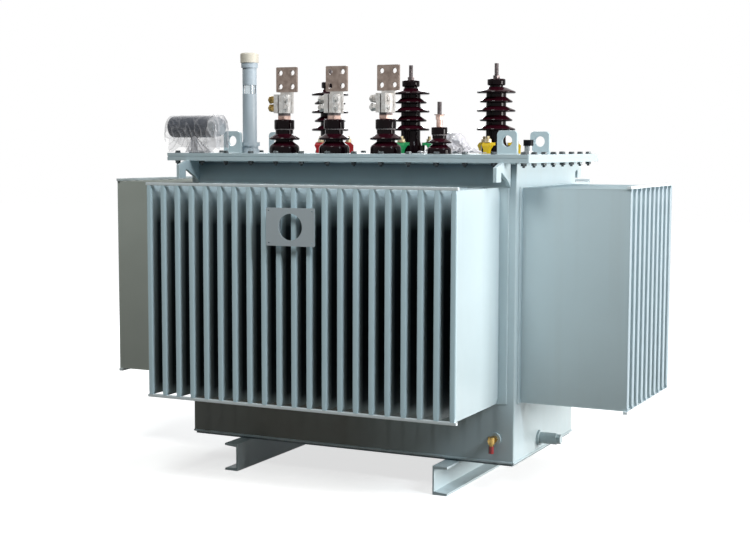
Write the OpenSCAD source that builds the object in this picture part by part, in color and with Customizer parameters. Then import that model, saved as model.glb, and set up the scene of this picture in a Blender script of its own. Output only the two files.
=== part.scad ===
// Oil-filled distribution transformer with corrugated fin walls, bushings on its cover and a channel base.
// X runs along the long side, the low-voltage side faces -Y, and the origin lies on the ground.

/* [Tank] */
// Length of the tank along its long side
tank_length = 1020; // [900:5:1200]
// Width of the tank across its short side
tank_width = 504; // [440:2:640]
// Height of the plain belt below the fins
lower_belt = 170; // [140:2:240]
// Height of the plain belt above the fins
upper_belt = 66; // [56:1:120]
// Radius of the tank's bent corners
tank_corner = 4; // [3:1:20]
// Thickness of the floor plate under the tank
floor_plate = 8; // [5:1:16]
// Setback of the floor plate from the tank walls
floor_setback = 4; // [1:1:10]

/* [Cooling fins] */
// Spacing of the fins along a wall
fin_pitch = 45.5; // [40:0.5:60]
// Thickness of one fin
fin_thickness = 17.5; // [14:0.5:20]
// Height of the fins
fin_height = 582; // [400:2:800]
// Depth of the fins on the long walls
long_fin_depth = 300; // [150:5:400]
// Depth of the fins on the short walls
short_fin_depth = 300; // [150:5:400]
// Least distance from the middle of the last fin to the tank corner
fin_margin = 45; // [40:1:60]
// Thickness of the wall sheet that the fins are folded from
wall_sheet = 3; // [2:0.5:6]
// Width of the bare strip between the wall sheet and the tank corner
corner_strip = 24; // [20:1:30]
// Rounding of the fold along a fin tip
fin_fold = 5; // [1:0.5:5]
// Height of the flat seam that closes a fin end
seam_height = 5; // [4:1:20]
// Height over which a fin narrows to its seam
press_height = 8; // [6:1:30]
// Thickness of the flat seam
seam_thickness = 12; // [3:0.5:13]
// Height of the flat bars along the fin tips
bar_height = 8; // [6:1:16]
// Depth of the flat bars along the fin tips
bar_depth = 12; // [8:1:20]
// Reach of the flat bars past the last fin
bar_reach = 2; // [1:1:20]

/* [Base channels] */
// Height of the base channels
channel_height = 80; // [60:1:120]
// Flange width of the base channels
channel_flange = 43; // [35:1:60]
// Web thickness of the base channels
channel_web = 5; // [4:0.5:10]
// Flange thickness of the base channels at the web
channel_root = 9.5; // [8:0.5:14]
// Flange thickness of the base channels at the tip
channel_tip = 6.5; // [5:0.5:8]
// Length of the base channels
channel_length = 670; // [520:5:900]
// Distance between the backs of the two base channels
channel_gap = 616; // [400:2:800]

/* [Flange and cover] */
// Overhang of flange and cover past the tank walls
flange_overhang = 53; // [45:1:80]
// Thickness of the tank flange
flange_plate = 10; // [6:1:16]
// Thickness of the cover gasket
gasket = 3; // [2:0.5:8]
// Setback of the gasket from the flange edge
gasket_setback = 1; // [0.5:0.5:16]
// Width of the gasket strip
gasket_width = 40; // [30:1:44]
// Thickness of the cover
cover_plate_t = 9; // [6:1:16]
// Corner radius of flange and cover
cover_corner = 6; // [2:1:20]

/* [Lifting] */
// Distance of a cover lug's middle from the end of the tank
lug_end = 71; // [60:1:80]
// Distance of a cover lug's middle from the side of the tank
lug_side = 117; // [108:1:132]
// Width of a cover lug
lug_width = 58; // [54:1:80]
// Height of a cover lug
lug_height = 65; // [60:1:90]
// Thickness of a cover lug
lug_plate = 13; // [8:1:20]
// Top corner radius of a cover lug
lug_corner = 12; // [6:1:20]
// Hole diameter of a cover lug
lug_hole = 31; // [20:1:36]
// Height of the lug hole above the cover
lug_hole_height = 36; // [32:1:38]
// Reach of a tank hook from the wall
hook_reach = 106; // [100:1:120]
// Thickness of a tank hook
hook_plate = 10; // [8:1:20]
// Distance of a tank hook's middle from the end of the tank
hook_inset = 22; // [20:1:36]
// Width of the tank hook's finger
hook_finger = 34; // [24:1:36]
// Depth of the finger below the flange
hook_depth = 50; // [44:1:54]
// Depth of the notch behind the finger, below the flange
notch_depth = 26; // [22:1:30]
// Drop of the hook's sloping nose
nose_drop = 12; // [6:1:16]
// Length of the hook's sloping nose
nose_length = 40; // [20:1:44]

/* [High-voltage bushings] */
// Spacing of the high-voltage bushings
hv_spacing = 280; // [260:5:340]
// Distance of the high-voltage row from the back wall
hv_side = 62; // [56:1:76]
// Radius of the porcelain trunk
hv_trunk = 30; // [24:0.5:36]
// Radius of the porcelain foot
hv_foot = 44; // [40:0.5:50]
// Height of the porcelain foot
hv_foot_height = 24; // [16:1:30]
// Radius of the large sheds
hv_large_shed = 58; // [54:0.5:70]
// Radius of the small sheds
hv_small_shed = 49; // [44:0.5:60]
// Height of the lowest shed above the cover
hv_first_shed = 72; // [70:1:90]
// Height from one shed to the next
hv_shed_step = 27.5; // [26:0.5:36]
// Number of sheds
hv_shed_count = 5; // [3:2:7]
// Height of the porcelain above the last shed
hv_neck = 16; // [15:1:30]
// Radius of the cap on top of the porcelain
hv_cap = 27; // [24:0.5:30]
// Height of the cap on top of the porcelain
hv_cap_height = 24; // [18:1:34]
// Diameter of the high-voltage stud
hv_stud = 12; // [8:1:20]
// Length of the high-voltage stud above its cap
hv_stud_length = 46; // [30:1:80]
// Height of the nut on the high-voltage stud
hv_nut_height = 10; // [6:1:14]
// Width of a foot clamp
claw_width = 28; // [20:1:36]
// Thickness of a foot clamp
claw_plate = 9; // [5:0.5:12]
// Reach of a foot clamp outside the porcelain foot
claw_reach = 30; // [24:1:32]
// Grip of a foot clamp over the porcelain foot
claw_grip = 9; // [5:0.5:10]

/* [Low-voltage bushings] */
// Spacing of the low-voltage bushings
lv_spacing = 165; // [150:1:180]
// Shift of the low-voltage row to the left of the tank's middle
lv_shift = 4.5; // [0:0.5:12]
// Distance of the low-voltage row from the front wall
lv_side = 100; // [90:1:112]
// Radius of the low-voltage porcelain base
lv_base = 44; // [40:0.5:54]
// Radius of the low-voltage shed
lv_shed = 45; // [42:0.5:56]
// Radius of the low-voltage neck
lv_neck = 26; // [24:0.5:32]
// Height of the low-voltage porcelain
lv_height = 68; // [64:1:90]
// Radius of the low-voltage cap
lv_cap = 29.5; // [26:0.5:36]
// Height of the low-voltage cap
lv_cap_height = 27; // [14:1:30]
// Thickness of the seal under the low-voltage cap
lv_seal = 3; // [2:0.5:5]
// Diameter of the low-voltage nut
lv_nut = 42; // [36:1:48]
// Height of the low-voltage nut
lv_nut_height = 18; // [10:1:24]
// Diameter of the low-voltage stud
lv_stud = 24; // [16:1:30]
// Size of the neutral bushing beside the phase bushings
neutral_scale = 0.76; // [0.6:0.02:0.9]
// Diameter of the neutral stud
neutral_stud = 12; // [8:1:18]
// Length of the neutral stud above its cap
neutral_stud_length = 70; // [40:1:90]

/* [Palm connectors] */
// Height of the connector clamp
clamp_height = 54; // [48:1:80]
// Outside diameter of the connector clamp
clamp_barrel = 42; // [40:1:52]
// Reach of the clamp ears in front of the stud
clamp_ears = 36; // [32:1:44]
// Width across the clamp ears
clamp_width = 30; // [22:1:36]
// Slit between the clamp ears
clamp_slit = 4; // [2:0.5:8]
// Height of the strap between clamp and palm
palm_rise = 8; // [2:1:16]
// Width of the palm
palm_width = 68; // [66:1:90]
// Height of the palm
palm_height = 73; // [70:1:100]
// Thickness of the palm
palm_plate = 9; // [6:0.5:14]
// Spacing of the palm holes
palm_pitch = 40; // [36:1:44]
// Diameter of the palm holes
palm_hole = 15; // [10:1:18]
// Corner radius of the palm
palm_corner = 3; // [1:0.5:6]

/* [Oil gauge pipe] */
// Distance of the oil pipe from the left end of the tank
pipe_end = 102; // [98:1:114]
// Distance of the oil pipe from the front wall
pipe_side = 164; // [162:1:180]
// Outside diameter of the oil pipe
pipe_od = 43; // [38:1:48]
// Diameter of the coupling at the foot of the pipe
coupling_od = 60; // [52:1:64]
// Height of the coupling
coupling_height = 32; // [24:1:50]
// Length of the pipe below the sight window
pipe_lower = 145; // [100:1:180]
// Height of the sight window
window_height = 26; // [18:1:40]
// Length of the pipe above the sight window
pipe_upper = 52; // [30:1:80]
// Diameter of the sight glass
glass_od = 30; // [24:1:32]
// Diameter of the guard rods round the sight glass
guard_rod = 5; // [3:0.5:6]
// Diameter of the collar under the filler cap
collar_od = 50; // [49:1:54]
// Height of the collar under the filler cap
collar_height = 15; // [8:1:24]
// Diameter of the filler cap
filler_cap_od = 55; // [50:1:64]
// Height of the filler cap
filler_cap_height = 29; // [18:1:40]

/* [Cover fittings] */
// Distance of the vent from the right end of the tank
vent_end = 52; // [30:1:56]
// Place of the vent across the tank
vent_y = -20; // [-60:1:60]
// Diameter of the vent body
vent_od = 22; // [16:1:26]
// Height of the vent body
vent_height = 23; // [20:1:50]
// Diameter of the vent cap
vent_cap_od = 28; // [27:1:36]
// Height of the vent cap
vent_cap_height = 17; // [6:1:20]
// Place of the tap changer along the tank
tap_x = 196; // [180:1:240]
// Place of the tap changer behind the tank's middle
tap_y = 50; // [40:1:52]
// Diameter of the tap changer's foot
tap_foot = 72; // [60:1:76]
// Height of the tap changer
tap_height = 58; // [36:1:64]
// Diameter of the instrument housing
meter_od = 62; // [50:1:64]
// Length of the instrument housing
meter_length = 141; // [110:1:160]
// Length of the instrument's pale head
meter_head = 32; // [26:1:50]
// Reach of the instrument past the left end of the tank
meter_past = 59; // [54:1:70]
// Place of the instrument in front of the front wall
meter_front = 14; // [10:1:16]
// Height of the instrument's axis above the cover
meter_axis = 76; // [68:1:90]
// Diameter of the instrument's stem
meter_stem = 20; // [14:1:26]
// Thickness given to the wrapping films
film = 1.5; // [1:0.1:3]
// Slack between a wrapping film and what it covers
film_slack = 5; // [2:0.5:8]

/* [Tank fittings] */
// Distance of the sample valve from the right end of the tank
valve_end = 53; // [45:1:110]
// Height of the sample valve above the tank floor
valve_height = 65; // [50:1:80]
// Diameter of the sample valve's boss
valve_boss = 34; // [30:1:44]
// Reach of the sample valve from its boss
valve_reach = 34; // [28:1:50]
// Diameter of the sample valve's body
valve_body = 19; // [16:1:26]
// Diameter of the red cap under the sample valve
valve_cap = 14; // [12:1:22]
// Length of the red cap under the sample valve
valve_cap_length = 20; // [12:1:24]
// Place of the drain stub in front of the tank's middle
drain_row = 50; // [0:1:120]
// Height of the drain stub above the tank floor
drain_height = 36; // [34:1:60]
// Diameter of the drain stub's weld ring
drain_ring = 43; // [40:1:52]
// Diameter of the drain stub
drain_od = 32; // [24:1:36]
// Length of the drain stub
drain_length = 48; // [30:1:80]
// Width across the flats of the drain plug
drain_plug = 24; // [18:1:26]
// Thickness of the welded bosses
boss_plate = 7; // [4:0.5:12]

/* [Nameplate carrier] */
// Width of the nameplate carrier
carrier_width = 145; // [120:1:200]
// Height of the nameplate carrier
carrier_height = 100; // [90:1:140]
// Thickness of the nameplate carrier
carrier_sheet = 2; // [1.5:0.5:4]
// Height of the carrier's middle below the fin tops
carrier_drop = 102; // [80:1:200]
// Standoff of the carrier from the fin tips
carrier_standoff = 14; // [8:1:30]
// Diameter of the carrier's round hole
carrier_hole = 70; // [40:1:80]
// Diameter of the carrier's corner holes
rivet_hole = 4; // [3:0.5:6]
// Distance of the corner holes from the carrier's edges
rivet_inset = 8; // [6:0.5:12]

/* [Hidden] */
$fn = 64;
sliver = 0.01;
floor_z = channel_height + floor_plate;
fin_bottom = channel_height + lower_belt;
fin_top = fin_bottom + fin_height;
flange_z = fin_top + upper_belt;
gasket_z = flange_z + flange_plate;
cover_z = gasket_z + gasket;
deck_z = cover_z + cover_plate_t;
half_length = tank_length / 2;
half_width = tank_width / 2;
long_fins = floor((tank_length - 2 * fin_margin) / fin_pitch) + 1;
short_fins = floor((tank_width - 2 * fin_margin) / fin_pitch) + 1;
hook_x = half_length - hook_inset;
hv_row = half_width - hv_side;
hv_top = hv_first_shed + (hv_shed_count - 1) * hv_shed_step + hv_neck;
hv_cap_z = hv_top + hv_cap_height;
hv_throat = 0.75 * hv_cap;
cap_round = 4;
shed_rim = 3.5;
shed_rise = 14;
shed_fall = 5;
claw_radius = hv_foot + claw_reach;
claw_top = hv_foot_height + claw_plate;
claw_angles = [28, 148, 268];
lv_row = half_width - lv_side;
lv_shoulder = 0.2 * lv_height;
lv_waist = 0.5 * lv_height;
lv_shed_z = 0.62 * lv_height;
lv_cap_z = lv_height + lv_seal;
lv_nut_z = lv_cap_z + lv_cap_height;
connector_z = lv_nut_z + lv_nut_height;
palm_y = clamp_barrel / 2 - palm_plate;
strap_width = palm_pitch;
neutral_z = neutral_scale * lv_nut_z;
neutral_sleeve = 0.3 * neutral_stud_length;
coupling_ring = 0.35 * coupling_height;
pipe_x = -half_length + pipe_end;
pipe_y = -half_width + pipe_side;
glass_z = coupling_height + pipe_lower;
collar_z = glass_z + window_height + pipe_upper;
vent_x = half_length - vent_end;
meter_x = -half_length - meter_past;
meter_row = half_width + meter_front;
meter_stem_x = meter_x + 0.55 * meter_length;
meter_end = meter_x + meter_length + meter_head;
tap_cap = 0.6 * tap_foot;
tap_rim = 0.2 * tap_height;
valve_x = half_length - valve_end;
valve_cock = half_width + boss_plate + 0.68 * valve_reach;
valve_outlet = 0.8 * valve_body;
valve_z = floor_z + valve_height;
drain_z = floor_z + drain_height;
carrier_z = fin_top - carrier_drop;
carrier_back = half_width + long_fin_depth + carrier_standoff;
paint = [0.62, 0.70, 0.73];
dark_paint = [0.45, 0.52, 0.55];
porcelain = [0.16, 0.04, 0.06];
tinned = [0.60, 0.55, 0.52];
film_tint = [0.85, 0.87, 0.88];

// Rectangle about the origin with rounded corners
module round_rect(l, w, r) {
  square([l - 2 * r, w], center = true);
  square([l, w - 2 * r], center = true);
  for (x = [-1, 1], y = [-1, 1])
    translate([x * (l / 2 - r), y * (w / 2 - r)]) circle(r);
}

// Cylinder from the origin along X, and one along -Y
module rod_x(d, l) { rotate([0, 90, 0]) cylinder(d = d, h = l); }
module rod_back(d, l) { rotate([90, 0, 0]) cylinder(d = d, h = l); }

// Copies its children to the four quadrants
module four_ways() {
  for (x = [0, 1], y = [0, 1]) mirror([x, 0, 0]) mirror([0, y, 0]) children();
}

// Base

module channel_section() {
  polygon([
    [0, 0], [channel_flange, 0], [channel_flange, channel_tip], [channel_web, channel_root],
    [channel_web, channel_height - channel_root], [channel_flange, channel_height - channel_tip],
    [channel_flange, channel_height], [0, channel_height]
  ]);
}

module base_channel(side) {
  color(paint)
    mirror([side < 0 ? 1 : 0, 0, 0])
      translate([channel_gap / 2, channel_length / 2, 0])
        rotate([90, 0, 0]) linear_extrude(channel_length) channel_section();
}

module floor_sheet() {
  color(dark_paint)
    translate([0, 0, channel_height])
      linear_extrude(floor_plate)
        round_rect(tank_length - 2 * floor_setback, tank_width - 2 * floor_setback, tank_corner);
}

// Tank with the welded bosses of the sample valve and the drain

module tank_body() {
  color(paint) {
    translate([0, 0, floor_z])
      linear_extrude(gasket_z - floor_z) round_rect(tank_length, tank_width, tank_corner);
    translate([valve_x, -half_width + sliver, valve_z]) rod_back(valve_boss, boss_plate + sliver);
    translate([half_length - sliver, -drain_row, drain_z]) rod_x(drain_ring, boss_plate + sliver);
  }
}

// One fin in plan, growing along -Y from the wall, with its tip folded round
module fin_plan(depth) {
  half = fin_thickness / 2;
  translate([-half, fin_fold - depth]) square([fin_thickness, depth - fin_fold]);
  translate([fin_fold - half, -depth]) square([fin_thickness - 2 * fin_fold, depth]);
  for (x = [-1, 1]) translate([x * (half - fin_fold), fin_fold - depth]) circle(fin_fold);
}

// One fin from the front, narrowed to a flat seam at both ends
module fin_front() {
  half = fin_thickness / 2;
  seam = seam_thickness / 2;
  pressed = seam_height + press_height;
  right = [
    [seam, 0], [seam, seam_height], [half, pressed],
    [half, fin_height - pressed], [seam, fin_height - seam_height], [seam, fin_height]
  ];
  polygon(concat(right, [for (i = [len(right) - 1 : -1 : 0]) [-right[i][0], right[i][1]]]));
}

module fin(depth) {
  intersection() {
    linear_extrude(fin_height) fin_plan(depth);
    translate([0, 1, 0]) rotate([90, 0, 0]) linear_extrude(depth + 2) fin_front();
  }
}

// Folded wall on the plane y = 0, with its fins pointing to -Y
module fin_wall(count, depth, wall_length) {
  color(paint)
    translate([0, 0, fin_bottom]) {
      translate([-wall_length / 2 + corner_strip, -wall_sheet, 0])
        cube([wall_length - 2 * corner_strip, wall_sheet, fin_height]);
      for (i = [0 : count - 1])
        translate([(i - (count - 1) / 2) * fin_pitch, 0, 0]) fin(depth);
    }
}

// Turns a wall made on y = 0 to one of the four sides
module on_side(side) {
  turn = side == "front" ? 0 : side == "right" ? 90 : side == "back" ? 180 : 270;
  out = side == "front" || side == "back" ? half_width : half_length;
  rotate([0, 0, turn]) translate([0, -out, 0]) children();
}

module long_fin_wall(side) { on_side(side) fin_wall(long_fins, long_fin_depth, tank_length); }
module short_fin_wall(side) { on_side(side) fin_wall(short_fins, short_fin_depth, tank_width); }

// Flat bars above and below the fin tips of one wall
module fin_bar_pair(count, depth) {
  bar = (count - 1) * fin_pitch + fin_thickness + 2 * bar_reach;
  for (z = [fin_bottom - bar_height, fin_top])
    translate([-bar / 2, -depth, z]) cube([bar, bar_depth, bar_height]);
}

module fin_bars() {
  color(paint) {
    for (side = ["front", "back"]) on_side(side) fin_bar_pair(long_fins, long_fin_depth);
    for (side = ["left", "right"]) on_side(side) fin_bar_pair(short_fins, short_fin_depth);
  }
}

// Flange, gasket and cover

module plate_outline(setback) {
  grow = 2 * (flange_overhang - setback);
  round_rect(tank_length + grow, tank_width + grow, cover_corner);
}

module tank_flange() {
  color(paint)
    translate([0, 0, flange_z])
      linear_extrude(flange_plate)
        difference() {
          plate_outline(0);
          round_rect(tank_length, tank_width, tank_corner);
        }
}

module cover_gasket() {
  color("dimgray")
    translate([0, 0, gasket_z])
      linear_extrude(gasket)
        difference() {
          plate_outline(gasket_setback);
          plate_outline(gasket_setback + gasket_width);
        }
}

module cover_plate() {
  color(paint) translate([0, 0, cover_z]) linear_extrude(cover_plate_t) plate_outline(0);
}

// Lifting

module lug_outline() {
  translate([-lug_width / 2, 0]) square([lug_width, lug_height - lug_corner]);
  translate([-lug_width / 2 + lug_corner, 0]) square([lug_width - 2 * lug_corner, lug_height]);
  for (x = [-1, 1])
    translate([x * (lug_width / 2 - lug_corner), lug_height - lug_corner]) circle(lug_corner);
}

module lifting_lugs() {
  color(paint)
    four_ways()
      translate([half_length - lug_end, half_width - lug_side + lug_plate / 2, deck_z])
        rotate([90, 0, 0])
          difference() {
            linear_extrude(lug_plate) lug_outline();
            translate([0, lug_hole_height, -1]) cylinder(d = lug_hole, h = lug_plate + 2);
          }
}

// Hook outline, first axis out from the wall and second axis down from the flange
module hook_outline() {
  inner = hook_reach - hook_finger;
  crown = hook_finger / 4;
  polygon([
    [0, 0], [hook_reach - nose_length, 0], [hook_reach, -nose_drop], [hook_reach, -hook_depth],
    [inner, -hook_depth], [inner, -notch_depth], [inner - crown, -notch_depth],
    [hook_finger / 2, -hook_depth], [0, -upper_belt]
  ]);
}

module tank_hooks() {
  color(paint)
    four_ways()
      translate([hook_x + hook_plate / 2, half_width, flange_z])
        rotate([90, 0, -90]) mirror([1, 0, 0]) linear_extrude(hook_plate) hook_outline();
}

// High-voltage bushings

// Points of an arc about a centre, from one angle to another
function arc(centre, r, from, to, steps) =
  [for (i = [0 : steps]) let (a = from + (to - from) * i / steps) centre + r * [cos(a), sin(a)]];

// Half outline of one shed, from its underside over a rounded rim to its top
function shed(r, trunk, z) = concat(
  [[trunk, z - shed_fall]], arc([r - shed_rim, z], shed_rim, -90, 75, 5), [[trunk, z + shed_rise]]
);

module hv_half() {
  shoulder = hv_foot_height + hv_foot - hv_trunk;
  brim = hv_cap - cap_round;
  polygon(concat(
    [[0, 0], [hv_foot, 0], [hv_foot, hv_foot_height], [hv_foot - claw_grip - 2, hv_foot_height]],
    [[hv_trunk, shoulder]],
    [for (i = [0 : hv_shed_count - 1])
      each shed(i % 2 == 0 ? hv_large_shed : hv_small_shed, hv_trunk, hv_first_shed + i * hv_shed_step)],
    [[hv_throat, hv_top], [hv_throat, hv_top + cap_round]],
    arc([brim, hv_top + 2 * cap_round], cap_round, -90, 0, 4),
    arc([brim, hv_cap_z - cap_round], cap_round, 0, 90, 4),
    [[0, hv_cap_z]]
  ));
}

module hv_place(i) { translate([(i - 1) * hv_spacing, hv_row, deck_z]) children(); }

module hv_bushing(i) { color(porcelain) hv_place(i) rotate_extrude() hv_half(); }

module hv_terminals() {
  color("dimgray")
    for (i = [0 : 2])
      hv_place(i) translate([0, 0, hv_cap_z]) {
        cylinder(d = 1.8 * hv_stud, h = hv_nut_height, $fn = 6);
        cylinder(d = hv_stud, h = hv_stud_length);
      }
}

// Clamp that stands on the cover and grips the porcelain foot, seen from the side
module claw_side() {
  polygon([
    [claw_radius, 0], [claw_radius, claw_top - claw_plate], [claw_radius - claw_plate, claw_top],
    [hv_foot - claw_grip, claw_top], [hv_foot - claw_grip, hv_foot_height],
    [hv_foot + claw_grip / 2, hv_foot_height], [claw_radius - 1.5 * claw_plate, 0]
  ]);
}

// The same clamp from the front, with a narrow leg under a wide arm
module claw_front() {
  leg = 0.62 * claw_width / 2;
  arm = claw_width / 2;
  polygon([
    [-leg, 0], [leg, 0], [leg, 0.4 * claw_top], [arm, 0.7 * claw_top], [arm, claw_top],
    [-arm, claw_top], [-arm, 0.7 * claw_top], [-leg, 0.4 * claw_top]
  ]);
}

module claw() {
  intersection() {
    rotate([90, 0, 0]) translate([0, 0, -claw_width]) linear_extrude(2 * claw_width) claw_side();
    rotate([90, 0, 90]) linear_extrude(2 * claw_radius) claw_front();
  }
}

module hv_clamps(i, tint) {
  color(tint) hv_place(i) for (a = claw_angles) rotate([0, 0, a]) claw();
}

// Low-voltage bushings

// Bell-shaped foot, one shed and a neck
module lv_half() {
  polygon(concat(
    [[0, 0], [lv_base, 0]],
    arc([lv_base - lv_shoulder, lv_shoulder], lv_shoulder, 0, 60, 5),
    [[lv_neck, lv_waist]],
    shed(lv_shed, lv_neck, lv_shed_z),
    [[lv_neck, lv_height], [0, lv_height]]
  ));
}

module lv_place(i) { translate([(i - 1.5) * lv_spacing - lv_shift, -lv_row, deck_z]) children(); }
module lv_size(i) { lv_place(i) scale(i == 3 ? neutral_scale : 1) children(); }

module lv_bushing(i) { color(porcelain) lv_size(i) rotate_extrude() lv_half(); }

module lv_seals() {
  color("gray")
    for (i = [0 : 3])
      lv_size(i) translate([0, 0, lv_height]) cylinder(r = 0.94 * lv_cap, h = lv_seal);
}

module lv_caps() {
  color(porcelain)
    for (i = [0 : 3])
      lv_size(i) translate([0, 0, lv_cap_z])
        rotate_extrude()
          polygon(concat(
            [[0, 0], [lv_cap, 0]],
            arc([lv_cap - cap_round, lv_cap_height - cap_round], cap_round, 0, 90, 4),
            [[0, lv_cap_height]]
          ));
}

module lv_terminals() {
  color([0.72, 0.50, 0.42]) {
    for (i = [0 : 2])
      lv_place(i) translate([0, 0, lv_nut_z]) {
        cylinder(d = lv_nut, h = lv_nut_height, $fn = 6);
        cylinder(d = lv_stud, h = lv_nut_height + clamp_height);
      }
    lv_place(3) translate([0, 0, neutral_z]) {
      cylinder(d = 1.4 * neutral_stud, h = neutral_sleeve);
      translate([0, 0, neutral_sleeve]) cylinder(d = 1.9 * neutral_stud, h = neutral_stud, $fn = 6);
      cylinder(d = neutral_stud, h = neutral_stud_length);
    }
  }
}

// Palm connectors

module lv_connector(i) {
  color(tinned)
    lv_place(i) translate([0, 0, connector_z]) {
      difference() {
        union() {
          cylinder(d = clamp_barrel, h = clamp_height);
          translate([-clamp_width / 2, -clamp_ears, 0]) cube([clamp_width, clamp_ears, clamp_height]);
          translate([-strap_width / 2, palm_y, 0])
            cube([strap_width, palm_plate, clamp_height + palm_rise + 1]);
        }
        translate([0, 0, -1]) cylinder(d = lv_stud, h = clamp_height + 3);
        translate([-clamp_slit / 2, -clamp_ears - 1, -1])
          cube([clamp_slit, clamp_ears + 1, clamp_height + 3]);
      }
      palm();
    }
}

// Drilled palm standing on the clamp's strap
module palm() {
  translate([0, palm_y + palm_plate, clamp_height + palm_rise + palm_height / 2])
    rotate([90, 0, 0])
      difference() {
        linear_extrude(palm_plate) round_rect(palm_width, palm_height, palm_corner);
        for (x = [-1, 1], z = [-1, 1])
          translate([x * palm_pitch / 2, z * palm_pitch / 2, -1]) cylinder(d = palm_hole, h = palm_plate + 2);
      }
}

// Oil pipe with its sight window and filler cap

module pipe_place(z) { translate([pipe_x, pipe_y, deck_z + z]) children(); }

module oil_pipe() {
  rod_ring = (pipe_od - guard_rod) / 2;
  color([0.80, 0.82, 0.83])
    pipe_place(0) {
      cylinder(d = 0.95 * coupling_od, h = coupling_ring);
      translate([0, 0, coupling_height - coupling_ring]) cylinder(d = coupling_od, h = coupling_ring);
      cylinder(d = 0.84 * coupling_od, h = coupling_height);
      cylinder(d = pipe_od, h = glass_z);
      for (a = [45 : 90 : 315])
        rotate([0, 0, a])
          translate([rod_ring, 0, glass_z - 1]) cylinder(d = guard_rod, h = window_height + 2);
      translate([0, 0, glass_z + window_height]) cylinder(d = pipe_od, h = pipe_upper);
      translate([0, 0, collar_z]) cylinder(d = collar_od, h = collar_height);
    }
}

module sight_glass() {
  color([0.6, 0.7, 0.8, 0.5]) pipe_place(glass_z) cylinder(d = glass_od, h = window_height);
}

module filler_cap() {
  crown = 0.2 * filler_cap_height;
  color([0.90, 0.86, 0.78])
    pipe_place(collar_z + collar_height)
      rotate_extrude() {
        square([filler_cap_od / 2, filler_cap_height - crown]);
        square([filler_cap_od / 2 - crown, filler_cap_height]);
        translate([filler_cap_od / 2 - crown, filler_cap_height - crown]) circle(crown);
      }
}

// Cover fittings

module vent_body() {
  color("gray")
    translate([vent_x, vent_y, deck_z]) {
      cylinder(d = 1.3 * vent_od, h = 0.35 * vent_height, $fn = 6);
      cylinder(d = vent_od, h = vent_height);
    }
}

module vent_cap() {
  color([0.08, 0.08, 0.09])
    translate([vent_x, vent_y, deck_z + vent_height]) cylinder(d = vent_cap_od, h = vent_cap_height);
}

module tap_changer() {
  color("gray")
    translate([tap_x, tap_y, deck_z]) {
      cylinder(d = tap_foot, h = tap_rim);
      cylinder(d = tap_cap, h = tap_height);
    }
}

// Domed wrap over the tap changer, open underneath
module tap_wrap(spare) {
  hull() {
    cylinder(d = tap_foot + 2 * spare, h = tap_rim + spare, $fn = 32);
    cylinder(d = tap_cap + 2 * spare, h = tap_height + spare, $fn = 32);
  }
}

module tap_changer_film() {
  color(film_tint)
    translate([tap_x, tap_y, deck_z])
      difference() {
        tap_wrap(film_slack + film);
        tap_wrap(film_slack);
        translate([0, 0, -1]) cylinder(d = tap_foot + 2 * film_slack, h = 2, $fn = 32);
      }
}

module meter_place() { translate([meter_x, -meter_row, deck_z + meter_axis]) children(); }

module instrument_housing() {
  edge = 0.15 * meter_od;
  color([0.24, 0.25, 0.28]) {
    meter_place()
      rotate([0, 90, 0])
        rotate_extrude() {
          translate([0, edge]) square([meter_od / 2, meter_length - edge]);
          square([meter_od / 2 - edge, meter_length]);
          translate([meter_od / 2 - edge, edge]) circle(edge);
        }
    translate([meter_stem_x, -meter_row, deck_z]) {
      cylinder(d = meter_stem, h = meter_axis);
      cylinder(d = 1.8 * meter_stem, h = 0.4 * meter_stem, $fn = 6);
    }
  }
}

module instrument_head() {
  color([0.75, 0.76, 0.78])
    meter_place()
      rotate([0, 90, 0])
        translate([0, 0, meter_length])
          rotate_extrude() {
            square([0.46 * meter_od, 0.6 * meter_head]);
            square([0.38 * meter_od, meter_head]);
          }
}

// Tent of film over the instrument, from its barrel down to the cover
module meter_wrap(spare) {
  back = max(meter_x - spare, -half_length - flange_overhang + film + 1);
  hull() {
    translate([meter_x - spare, -meter_row, meter_axis])
      rotate([0, 90, 0]) cylinder(d = meter_od + 2 * spare, h = meter_end - meter_x + 2 * spare, $fn = 32);
    translate([back + film_slack + film - spare, -meter_row - 0.4 * meter_od - spare, 0])
      cube([meter_end - back + 2 * spare - film_slack - film, 0.9 * meter_od + 2 * spare, 1]);
  }
}

module instrument_film() {
  color(film_tint)
    translate([0, 0, deck_z])
      difference() {
        meter_wrap(film_slack + film);
        translate([0, 0, -1]) meter_wrap(film_slack);
        meter_wrap(film_slack);
      }
}

// Tank fittings

module sample_valve() {
  color([0.70, 0.55, 0.25]) {
    translate([valve_x, -half_width - boss_plate, valve_z]) {
      rod_back(0.7 * valve_body, valve_reach);
      rod_back(1.1 * valve_body, 0.3 * valve_reach, $fn = 6);
    }
    translate([valve_x, -valve_cock, valve_z - valve_outlet]) {
      cylinder(d = 0.6 * valve_body, h = valve_outlet);
      translate([0, 0, valve_outlet - valve_body / 2]) cylinder(d = valve_body, h = valve_body);
    }
  }
}

module sample_valve_cap() {
  color([0.65, 0.06, 0.06])
    translate([valve_x, -valve_cock, valve_z - valve_outlet - valve_cap_length])
      cylinder(d = valve_cap, h = valve_cap_length);
}

module drain_stub() {
  color(paint)
    translate([half_length + boss_plate, -drain_row, drain_z]) {
      rod_x(drain_od, drain_length);
      rod_x(drain_plug / cos(30), drain_length + 0.5 * drain_plug, $fn = 6);
    }
}

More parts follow.
